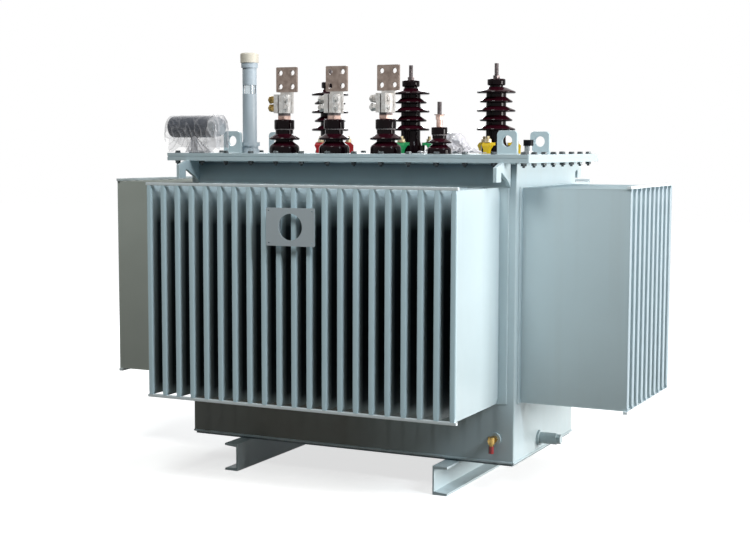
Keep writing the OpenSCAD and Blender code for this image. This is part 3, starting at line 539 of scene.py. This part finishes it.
# small parts beside the solids
def addPiece(name, mesh, paint):
    data = bpy.data.meshes.new(name)
    mesh.to_mesh(data)
    mesh.free()
    data.materials.append(paints[paint])
    piece = bpy.data.objects.new(name, data)
    bpy.context.scene.collection.objects.link(piece)
    piece.modifiers.new("smooth", "NODES").node_group = smoothByAngle
    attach(piece, "root")


def at(x, y, z):
    return Matrix.Translation((x, y, z))


def facing(place, direction):
    turn = Vector((0, 0, 1)).rotation_difference(Vector(direction)).to_matrix().to_4x4()
    return Matrix.Translation(place) @ turn


def ringsToFaces(mesh, rings, closed=True):
    for lower, upper in zip(rings, rings[1:]):
        count = len(lower)
        for i in range(count if closed else count - 1):
            j = (i + 1) % count
            mesh.faces.new((lower[i], lower[j], upper[j], upper[i]))


# turned part: profile of (radius, height) pairs, closed at both ends
def turned(mesh, place, profile, steps=24):
    rings = []
    for radius, height in profile:
        rings.append([mesh.verts.new(place @ Vector((radius * math.cos(a), radius * math.sin(a), height)))
                      for a in (2 * math.pi * i / steps for i in range(steps))])
    ringsToFaces(mesh, rings)
    mesh.faces.new(list(reversed(rings[0])))
    mesh.faces.new(rings[-1])


def washer(mesh, place, hole, radius, thick):
    turned(mesh, place, [(hole, 0.0), (radius, 0.0), (radius, thick), (hole, thick)])


# hexagon with the round chamfer of a nut or bolt head on top
def hexagon(mesh, place, flats, height, chamferBelow=False, turn=0.0, steps=36):
    def corner(angle):
        return flats / 2 / math.cos((angle + math.pi / 6) % (math.pi / 3) - math.pi / 6)
    inner, rings = 0.94 * flats / 2, []
    angles = [2 * math.pi * i / steps for i in range(steps)]
    drop = [0.55 * (corner(a) - inner) for a in angles]
    levels = [(1, [d if chamferBelow else 0 for d in drop]), (1, [height - d for d in drop])]
    if chamferBelow:
        levels.insert(0, (0, [0] * steps))
    levels.append((0, [height] * steps))
    for full, heights in levels:
        ring = []
        for angle, level in zip(angles, heights):
            radius = corner(angle) if full else inner
            spot = Vector((radius * math.cos(angle + turn), radius * math.sin(angle + turn), level))
            ring.append(mesh.verts.new(place @ spot))
        rings.append(ring)
    ringsToFaces(mesh, rings)
    mesh.faces.new(list(reversed(rings[0])))
    mesh.faces.new(rings[-1])


# rod whose side carries the ridges of a thread
def threaded(mesh, place, radius, length, pitch=0.00175, steps=18):
    depth, profile = 0.3 * pitch, [(0.8 * radius, 0.0)]
    turns = max(2, int(length / pitch))
    for i in range(turns):
        profile += [(radius - depth, (i + 0.1) * pitch), (radius, (i + 0.5) * pitch)]
    profile += [(radius - depth, turns * pitch), (0.75 * radius, turns * pitch + 0.0008)]
    turned(mesh, place, profile, steps)


# cover bolts: heads on the cover, nuts under the flange
coverBoltLook = {"inset": 0.024, "along": 14, "across": 8, "flats": 0.0140, "head": 0.0056, "nut": 0.0070,
                 "washer": 0.0088, "washerThick": 0.0014, "tip": 0.0025, "radius": 0.0042, "nutTurn": 0.4}


def coverBoltPlaces(look):
    endX, endY = coverEdge.x - look["inset"], coverEdge.y - look["inset"]
    alongs = [-endX + 2 * endX * i / (look["along"] - 1) for i in range(look["along"])]
    acrosses = [-endY + 2 * endY * i / (look["across"] - 1) for i in range(look["across"])]
    longRows = [(x, y) for x in alongs for y in (-endY, endY)]
    return longRows + [(x, y) for y in acrosses[1:-1] for x in (-endX, endX)]


def makeCoverBolts(look):
    heads, nuts = bmesh.new(), bmesh.new()
    for x, y in coverBoltPlaces(look):
        turn = dice.uniform(0, math.pi / 3)
        thick = look["washerThick"]
        washer(heads, at(x, y, deckZ), look["radius"], look["washer"], thick)
        hexagon(heads, at(x, y, deckZ + thick), look["flats"], look["head"], turn=turn)
        below = facing((x, y, flangeUnderZ), (0, 0, -1))
        washer(nuts, below, look["radius"], look["washer"], thick)
        hexagon(nuts, below @ at(0, 0, thick), look["flats"], look["nut"], True, turn + look["nutTurn"])
        threaded(nuts, below @ at(0, 0, thick + look["nut"]), look["radius"], look["tip"])
    addPiece("coverBoltHeads", heads, "boltSteel")
    addPiece("coverBoltNuts", nuts, "boltSteel")


makeCoverBolts(coverBoltLook)
print("cover bolted")

# welds: rippled beads along the joints of sheets, flange, floor and lugs
weldLook = {"ripple": 0.0065, "rough": 0.16, "sides": 7, "tankCorner": 0.003, "floorLift": 0.001,
            "floor": 0.0032, "flange": 0.0042, "wallEnd": 0.0034, "wallEdge": 0.0030, "lug": 0.0034,
            "lugFoot": 0.058, "lugPlate": 0.013}


def weldRun(mesh, points, radius, look=weldLook, closed=False):
    points = [Vector(p) for p in points] + ([Vector(points[0])] if closed else [])
    path = []
    for start, end in zip(points, points[1:]):
        steps = max(2, int((end - start).length / look["ripple"] * 2))
        path += [start.lerp(end, i / steps) for i in range(steps)]
    path.append(points[-1])
    rings = []
    for i, place in enumerate(path):
        heading = (path[min(i + 1, len(path) - 1)] - path[max(i - 1, 0)]).normalized()
        side = heading.orthogonal().normalized()
        other = heading.cross(side)
        swell = radius * (1 + look["rough"] * (0.7 if i % 2 else -0.5) + 0.25 * noise.noise(place * 60))
        rings.append([mesh.verts.new(place + swell * (math.cos(a) * side + math.sin(a) * other))
                      for a in (2 * math.pi * k / look["sides"] for k in range(look["sides"]))])
    ringsToFaces(mesh, rings)


def makeWelds(look):
    mesh = bmesh.new()
    corner = look["tankCorner"]
    foot = [(tankEnd - corner, -tankSide), (tankEnd, corner - tankSide), (tankEnd, tankSide - corner),
            (tankEnd - corner, tankSide), (corner - tankEnd, tankSide), (-tankEnd, tankSide - corner),
            (-tankEnd, corner - tankSide), (corner - tankEnd, -tankSide)]
    weldRun(mesh, [(x, y, floorTopZ + look["floorLift"]) for x, y in foot], look["floor"], closed=True)
    weldRun(mesh, [(x, y, flangeUnderZ) for x, y in foot], look["flange"], closed=True)
    for sx in (-1, 1):
        for sy in (-1, 1):  # ends of the folded walls, beside the tank corners
            for x, y in ((sx * sheetEndX, sy * tankSide), (sx * tankEnd, sy * sheetEndY)):
                weldRun(mesh, [(x, y, finBottomZ), (x, y, finTopZ)], look["wallEnd"])
    for z in (finBottomZ, finTopZ):  # top and bottom of the folded walls
        for side in (-1, 1):
            weldRun(mesh, [(x, side * tankSide, z) for x in (-sheetEndX, sheetEndX)], look["wallEdge"])
            weldRun(mesh, [(side * tankEnd, y, z) for y in (-sheetEndY, sheetEndY)], look["wallEdge"])
    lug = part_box("lifting_lugs")[1]
    for sx in (-1, 1):
        for sy in (-1, 1):  # feet of the cover lugs
            for y in (lug.y, lug.y - look["lugPlate"]):
                ends = [(sx * x, sy * y, deckZ) for x in (lug.x - look["lugFoot"], lug.x)]
                weldRun(mesh, ends, look["lug"])
    addPiece("weldBeads", mesh, "tankPaint")


makeWelds(weldLook)
print("welds laid")

# hardware on the clamps of the high-voltage bushings
clampNutLook = {"ring": 0.058, "angles": (28, 148, 268), "flats": 0.017, "nut": 0.009, "washer": 0.0115,
                "thick": 0.002, "stud": 0.005, "tip": 0.007, "pitch": 0.0014}


def makeClampNuts(look):
    mesh = bmesh.new()
    for node in ("hv_clamps_left", "hv_clamps_middle", "hv_clamps_right"):
        bushing = middleOf(node.replace("clamps", "bushing"))
        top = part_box(node)[1].z
        for angle in look["angles"]:
            a, thick = math.radians(angle), look["thick"]
            place = at(bushing.x + look["ring"] * math.cos(a), bushing.y + look["ring"] * math.sin(a), top)
            washer(mesh, place, look["stud"], look["washer"], thick)
            hexagon(mesh, place @ at(0, 0, thick), look["flats"], look["nut"], True, a)
            threaded(mesh, place @ at(0, 0, thick + look["nut"]), look["stud"], look["tip"], look["pitch"])
    addPiece("clampNuts", mesh, "creamNut")


makeClampNuts(clampNutLook)

# clamping bolts through the ears of the palm connectors: nut, locknut and thread on the left,
# a plain head on the right
earBoltLook = {"setBack": 0.020, "levels": (0.015, 0.039), "flats": 0.0200, "nut": 0.011, "lockNut": 0.008,
               "washer": 0.0135, "thick": 0.0025, "radius": 0.0058, "tip": 0.005, "head": 0.005,
               "headFlats": 0.014, "earHalf": 0.015}


def makeEarBolts(look):
    heads, thick = bmesh.new(), look["thick"]
    for side, paint, slot in (("left", "brass", "valve_brass"), ("middle", "castClamp", "fitting_zinc"),
                              ("right", "castClamp", "fitting_zinc")):
        nuts = bmesh.new()
        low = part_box("lv_connector_" + side)[0]
        axis = middleOf("lv_bushing_" + side)
        for level in look["levels"]:
            start = Vector((axis.x, axis.y - look["setBack"], low.z + level))
            left = facing(start - Vector((look["earHalf"], 0, 0)), (-1, 0, 0))
            washer(nuts, left, look["radius"], look["washer"], thick)
            reach = thick
            for tall in (look["nut"], look["lockNut"]):
                hexagon(nuts, left @ at(0, 0, reach), look["flats"], tall, True, dice.uniform(0, 1))
                reach += tall
            threaded(nuts, left @ at(0, 0, reach), look["radius"], look["tip"])
            right = facing(start + Vector((look["earHalf"], 0, 0)), (1, 0, 0))
            hexagon(heads, right, look["headFlats"], look["head"], False, dice.uniform(0, 1))
        addPiece("earNuts" + side.capitalize(), nuts, paint)
    addPiece("earBoltHeads", heads, "castClamp")


makeEarBolts(earBoltLook)

# threads on the studs of the bushings and the neutral's washer
studLook = {"radius": 0.0062, "hvNut": 0.010, "tipGap": 0.002, "washer": 0.0145, "hole": 0.006,
            "thick": 0.0022, "neutralRise": 0.0558, "neutralThread": 0.032}


def makeStudThreads(look):
    dark, copper = bmesh.new(), bmesh.new()
    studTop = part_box("hv_terminals")[1].z
    for side in ("left", "middle", "right"):
        bushing = middleOf("hv_bushing_" + side)
        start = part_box("hv_bushing_" + side)[1].z + look["hvNut"]
        threaded(dark, at(bushing.x, bushing.y, start), look["radius"], studTop - start - look["tipGap"])
    neutral = middleOf("neutral_bushing")
    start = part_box("neutral_bushing")[1].z + look["neutralRise"]
    washer(copper, at(neutral.x, neutral.y, start), look["hole"], look["washer"], look["thick"])
    threaded(dark, at(neutral.x, neutral.y, start + look["thick"]), look["radius"], look["neutralThread"])
    addPiece("studThreads", dark, "darkStud")
    addPiece("studWashers", copper, "studCopper")


makeStudThreads(studLook)
print("small hardware placed")

# film over the instrument: hugs the housing, hangs to a point at the left, reaches the cover in front
wrapLook = {"flat": (0.24, 0.20), "left": 0.018, "right": 0.005, "slack": 0.0018, "wrinkle": 0.0034,
            "cells": (96, 72), "leftPinch": 0.85, "rightPinch": 0.45, "leftDroop": 0.022, "rightDroop": 0.012,
            "hems": ((0.0, 0.022), (0.42, 0.058), (0.50, 0.0735), (0.90, 0.0735), (1.0, 0.055)),
            "backHem": 0.060, "hemGap": 0.0015, "deckGap": 0.0012, "edgeGap": 0.001}
fanLook = {"apex": (0.100, 0.024), "foot": (0.068, 0.100), "front": 0.0045, "pleats": 40, "pleat": 0.0026,
           "lean": 0.0022, "steps": (0.05, 0.2, 0.35, 0.5, 0.65, 0.8, 0.92, 1.0), "deckGap": 0.0015}


def finishFilm(film, paint, replaced):
    film.data.materials.clear()
    film.data.materials.append(paints[paint])
    film.data.shade_smooth()
    finer = film.modifiers.new("finer", "SUBSURF")
    finer.levels = finer.render_levels = 1
    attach(film, "root")
    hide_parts(replaced)


def hemAt(hems, share):
    for (x0, y0), (x1, y1) in zip(hems, hems[1:]):
        if share <= x1:
            return y0 + (y1 - y0) * (share - x0) / (x1 - x0)
    return hems[-1][1]


def wrapRings(mesh, gathered, look):
    low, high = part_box("instrument_housing")
    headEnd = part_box("instrument_head")[1].x
    radius = (high.y - low.y) / 2
    middle = Vector((0, (low.y + high.y) / 2, high.z - radius))
    start, end = low.x - look["left"], headEnd + look["right"]
    rings = []
    for i in range(look["cells"][0] + 1):
        u = i / look["cells"][0]
        x = start + (end - start) * u
        leftOver, rightOver = max(0.0, (low.x - x) / look["left"]), max(0.0, (x - headEnd) / look["right"])
        pinch = 1 - look["leftPinch"] * leftOver ** 1.5 - look["rightPinch"] * rightOver ** 2
        size = (radius + look["slack"]) * pinch
        centre = middle - Vector((0, 0, look["leftDroop"] * leftOver + look["rightDroop"] * rightOver))
        ring = []
        for k in range(look["cells"][1] + 1):
            v = 2 * k / look["cells"][1] - 1  # back hem to front hem over the top
            hem = hemAt(look["hems"], u) if v > 0 else look["backHem"]
            hem = min(hem, centre.z - deckZ - look["hemGap"])
            reach = abs(v) * (size * math.pi / 2 + hem)
            bend = min(reach / size, math.pi / 2)
            drop = max(0.0, reach - size * math.pi / 2)
            out = Vector((0, -math.copysign(math.sin(bend), v), math.cos(bend)))
            spot = Vector((x, 0, -drop)) + centre + size * out
            streak = noise.noise(Vector((x * 26 + v * 1.6, v * 1.1 - x * 9, 3.1)))
            fold = 1 - abs(noise.noise(Vector((x * 46 - v * 3.0, v * 2.4 + x * 14, 7.7)))) * 2.4
            overHead = max(0.0, min(1.0, (x - high.x) / 0.008))  # slack round the smaller head
            loose = 0.4 + 0.9 * min(1.0, drop / 0.02) + 1.2 * max(leftOver, overHead)
            rise = max(0.0, 0.5 * streak + 0.5 * fold + 0.3)
            spot += out * look["wrinkle"] * min(loose, 1.8) * rise
            spot.y = max(spot.y, look["edgeGap"] - coverEdge.y)
            spot.z = max(spot.z, deckZ + look["deckGap"])
            vertex = mesh.verts.new(spot)
            vertex[gathered] = min(0.8, max(0.0, fold - 0.55) * (0.7 + 0.8 * overHead) + 0.22 * overHead
                                   + 0.25 * min(1.0, drop / 0.03))
            ring.append(vertex)
        rings.append(ring)
    return rings, low, middle


# the gathered corner in front, pleated like a fan
def fanLines(mesh, gathered, low, middle, look):
    front = low.y - look["front"]
    apex = Vector((low.x + look["apex"][0], front, middle.z - look["apex"][1]))
    lines = []
    for i in range(look["pleats"] + 1):
        share = i / look["pleats"]
        foot = Vector((low.x + look["foot"][0] + look["foot"][1] * share, front, deckZ + look["deckGap"]))
        pleat = look["pleat"] * (math.sin(share * 30) + 0.6 * math.sin(share * 12 + 1))
        line = [mesh.verts.new(apex.lerp(foot, t) + Vector((0, look["lean"] * t - t * pleat, 0)))
                for t in look["steps"]]
        for vertex in line:
            vertex[gathered] = 0.72 + 0.2 * math.sin(share * 30 + 0.8)
        lines.append(line)
    return lines


def makeInstrumentWrap(look):
    mesh = bmesh.new()
    gathered = mesh.verts.layers.float.new("gathered")
    rings, low, middle = wrapRings(mesh, gathered, look)
    ringsToFaces(mesh, rings, closed=False)
    ringsToFaces(mesh, fanLines(mesh, gathered, low, middle, fanLook), closed=False)
    data = bpy.data.meshes.new("instrumentWrap")
    mesh.to_mesh(data)
    mesh.free()
    film = bpy.data.objects.new("instrumentWrap", data)
    bpy.context.scene.collection.objects.link(film)
    finishFilm(film, "clearFilm", "instrument_film")


makeInstrumentWrap(wrapLook)


# film over the tap changer, draped by simulation
def hiddenCollider(source, look):
    body = bpy.data.objects.new("collider", nodes[source].data.copy())
    bpy.context.scene.collection.objects.link(body)
    body.modifiers.new("collision", "COLLISION")
    body.collision.thickness_outer = look["skin"]
    body.collision.cloth_friction = look["friction"]
    return body


def drapeFilm(name, look):
    mesh = bmesh.new()
    bmesh.ops.create_grid(mesh, x_segments=look["cells"][0], y_segments=look["cells"][1], size=0.5)
    turn = Matrix.Rotation(math.radians(look["turn"]), 4, "Z")
    for v in mesh.verts:
        flat = Vector((v.co.x * look["flat"][0], v.co.y * look["flat"][1], 0))
        crease = noise.noise(flat * 38 + Vector((look["seed"], 0, 0))) + 0.6 * noise.noise(flat * 90)
        v.co = Vector(look["over"]) + turn @ flat + Vector((0, 0, look["creased"] * crease))
    data = bpy.data.meshes.new(name)
    mesh.to_mesh(data)
    mesh.free()
    film = bpy.data.objects.new(name, data)
    bpy.context.scene.collection.objects.link(film)
    colliders = [hiddenCollider(n, look) for n in look["fallsOn"]]
    cloth = film.modifiers.new("cloth", "CLOTH")
    cloth.settings.quality = 7
    cloth.settings.mass = look["weight"]
    cloth.settings.tension_stiffness = cloth.settings.compression_stiffness = look["tension"]
    cloth.settings.shear_stiffness = look["shear"]
    cloth.settings.bending_stiffness = look["stiff"]
    cloth.settings.air_damping = look["airDrag"]
    cloth.settings.shrink_min = look["slack"]
    cloth.collision_settings.distance_min = look["gap"]
    cloth.collision_settings.use_self_collision = True
    cloth.collision_settings.self_distance_min = look["gap"]
    cloth.collision_settings.collision_quality = 4
    scene = bpy.context.scene
    cloth.point_cache.frame_end = look["frames"]
    for step in range(1, look["frames"] + 1):
        scene.frame_set(step)
    settled = bpy.data.meshes.new_from_object(film.evaluated_get(bpy.context.evaluated_depsgraph_get()))
    film.modifiers.clear()
    film.data = settled
    scene.frame_set(1)
    for body in colliders:
        bpy.data.objects.remove(body)
    finishFilm(film, look["paint"], look["replaces"])


tapMid = middleOf("tap_changer")
tapFilmLook = {"flat": (0.23, 0.20), "cells": (50, 44), "turn": 24.0, "seed": 8.0, "creased": 0.008,
               "stiff": 3.0, "tension": 30, "shear": 12, "slack": -0.06, "weight": 0.06, "airDrag": 2.0,
               "friction": 18, "skin": 0.001, "gap": 0.0012, "frames": 45,
               "over": (tapMid.x, tapMid.y, deckZ + 0.072),
               "fallsOn": ("tap_changer", "cover_plate"), "restsOn": ["tap_changer"],
               "replaces": "tap_changer_film", "paint": "milkyFilm"}
drapeFilm("tapChangerWrap", tapFilmLook)
print("films draped")


# 1 where the camera, a reflection or glass looks, 0 for light that only bounces
def seenDirectly(tree):
    path = addNode(tree, "ShaderNodeLightPath").outputs
    shown = mathAt(tree, "MAXIMUM", path["Is Camera Ray"], path["Is Glossy Ray"])
    return mathAt(tree, "MAXIMUM", shown, path["Is Transmission Ray"])


# the floor glows only where it is seen and fades to white away from the object, so its shadow stays
floorLook = {"half": 14, "pale": ((0.80, 0.80, 0.80, 1), (0.84, 0.84, 0.84, 1)),
             "bounce": (0.17, 0.16, 0.14, 1), "fade": (1.1, 3.2), "glow": (0.70, 1.0)}


def makeFloor(look):
    mesh = bmesh.new()
    bmesh.ops.create_grid(mesh, x_segments=1, y_segments=1, size=look["half"])
    data = bpy.data.meshes.new("floor")
    mesh.to_mesh(data)
    mesh.free()
    material = bpy.data.materials.new("paleFloor")
    material.use_nodes = True
    tree = material.node_tree
    shader = tree.nodes["Principled BSDF"]
    shown = seenDirectly(tree)
    where = addNode(tree, "ShaderNodeTexCoord").outputs["Object"]
    pale = mixAt(tree, noiseAt(tree, where, 3.0), *look["pale"])
    tree.links.new(mixAt(tree, shown, look["bounce"], pale), shader.inputs["Base Color"])
    shader.inputs["Roughness"].default_value = 0.95
    shader.inputs["Specular IOR Level"].default_value = 0.0
    shader.inputs["Emission Color"].default_value = (1, 1, 1, 1)
    away = addNode(tree, "ShaderNodeVectorMath", {0: where}, operation="LENGTH").outputs[1]
    glow = rangeAt(tree, away, *look["fade"], *look["glow"])
    tree.links.new(mathAt(tree, "MULTIPLY", shown, glow), shader.inputs["Emission Strength"])
    data.materials.append(material)
    floor = bpy.data.objects.new("floor", data)
    bpy.context.scene.collection.objects.link(floor)


def makeWorld(look):
    world = bpy.data.worlds.new("studio")
    bpy.context.scene.world = world
    world.use_nodes = True
    tree = world.node_tree
    background = tree.nodes["Background"]
    shown = seenDirectly(tree)
    tree.links.new(mixAt(tree, shown, look["tint"], (1, 1, 1, 1)), background.inputs["Color"])
    tree.links.new(rangeAt(tree, shown, 0.0, 1.0, look["strength"], 1.0), background.inputs["Strength"])


# a soft lamp, turned round the object from the low-voltage side and raised
def addLamp(name, look):
    lamp = bpy.data.lights.new(name, "AREA")
    lamp.shape, lamp.energy, lamp.color = "RECTANGLE", look["power"], look["tint"]
    lamp.size, lamp.size_y = look["size"]
    shown = bpy.data.objects.new(name, lamp)
    bpy.context.scene.collection.objects.link(shown)
    turn, rise = math.radians(look["turn"]), math.radians(look["rise"])
    out = Vector((math.sin(turn) * math.cos(rise), -math.cos(turn) * math.cos(rise), math.sin(rise)))
    shown.location = aimAt + lampDistance * out
    shown.rotation_euler = (-out).to_track_quat("-Z", "Y").to_euler()


# the hall's light: low windows beyond the right end, weaker ones above it and at the corner,
# a lamp high in front, and one behind the left end for the sides that face away
ambientLook = {"strength": 0.02, "tint": (0.80, 0.93, 1.0, 1)}
aimAt = Vector((0.05, -0.10, 0.65))
lampDistance = 4.2
lampLooks = {
    "lowWindow": {"turn": 100, "rise": 4, "size": (1.5, 1.2), "power": 155.0, "tint": (1.0, 0.97, 0.94)},
    "highWindow": {"turn": 90, "rise": 55, "size": (1.0, 1.0), "power": 30.0, "tint": (0.94, 0.98, 1.0)},
    "cornerWindow": {"turn": 70, "rise": 30, "size": (0.6, 1.4), "power": 58.0, "tint": (0.84, 0.93, 1.0)},
    "frontLamp": {"turn": 0, "rise": 55, "size": (1.2, 1.2), "power": 80.0, "tint": (0.97, 1.0, 0.98)},
    "backLamp": {"turn": 206, "rise": 28, "size": (1.6, 1.4), "power": 70.0, "tint": (0.94, 0.98, 1.0)},
}
makeFloor(floorLook)
makeWorld(ambientLook)
for name, look in lampLooks.items():
    addLamp(name, look)

cameraLook = {"place": (1.791, -3.757, 0.9407), "yaw": 0.451, "pitch": -0.0952, "roll": 0.0028,
              "focalPixels": 1400.0, "imageWidth": 750, "sensor": 36.0}


def placeCamera(look):
    camera = bpy.data.objects.new("camera", bpy.data.cameras.new("camera"))
    bpy.context.scene.collection.objects.link(camera)
    camera.location = look["place"]
    yaw = Matrix.Rotation(look["yaw"], 3, "Z")
    pitch = Matrix.Rotation(math.pi / 2 + look["pitch"], 3, "X")
    roll = Matrix.Rotation(look["roll"], 3, "Z")
    camera.rotation_euler = (yaw @ pitch @ roll).to_euler()
    camera.data.sensor_width = look["sensor"]
    camera.data.lens = look["focalPixels"] * look["sensor"] / look["imageWidth"]
    bpy.context.scene.camera = camera


placeCamera(cameraLook)
bpy.context.scene.view_settings.view_transform = "Standard"
print("stage set")
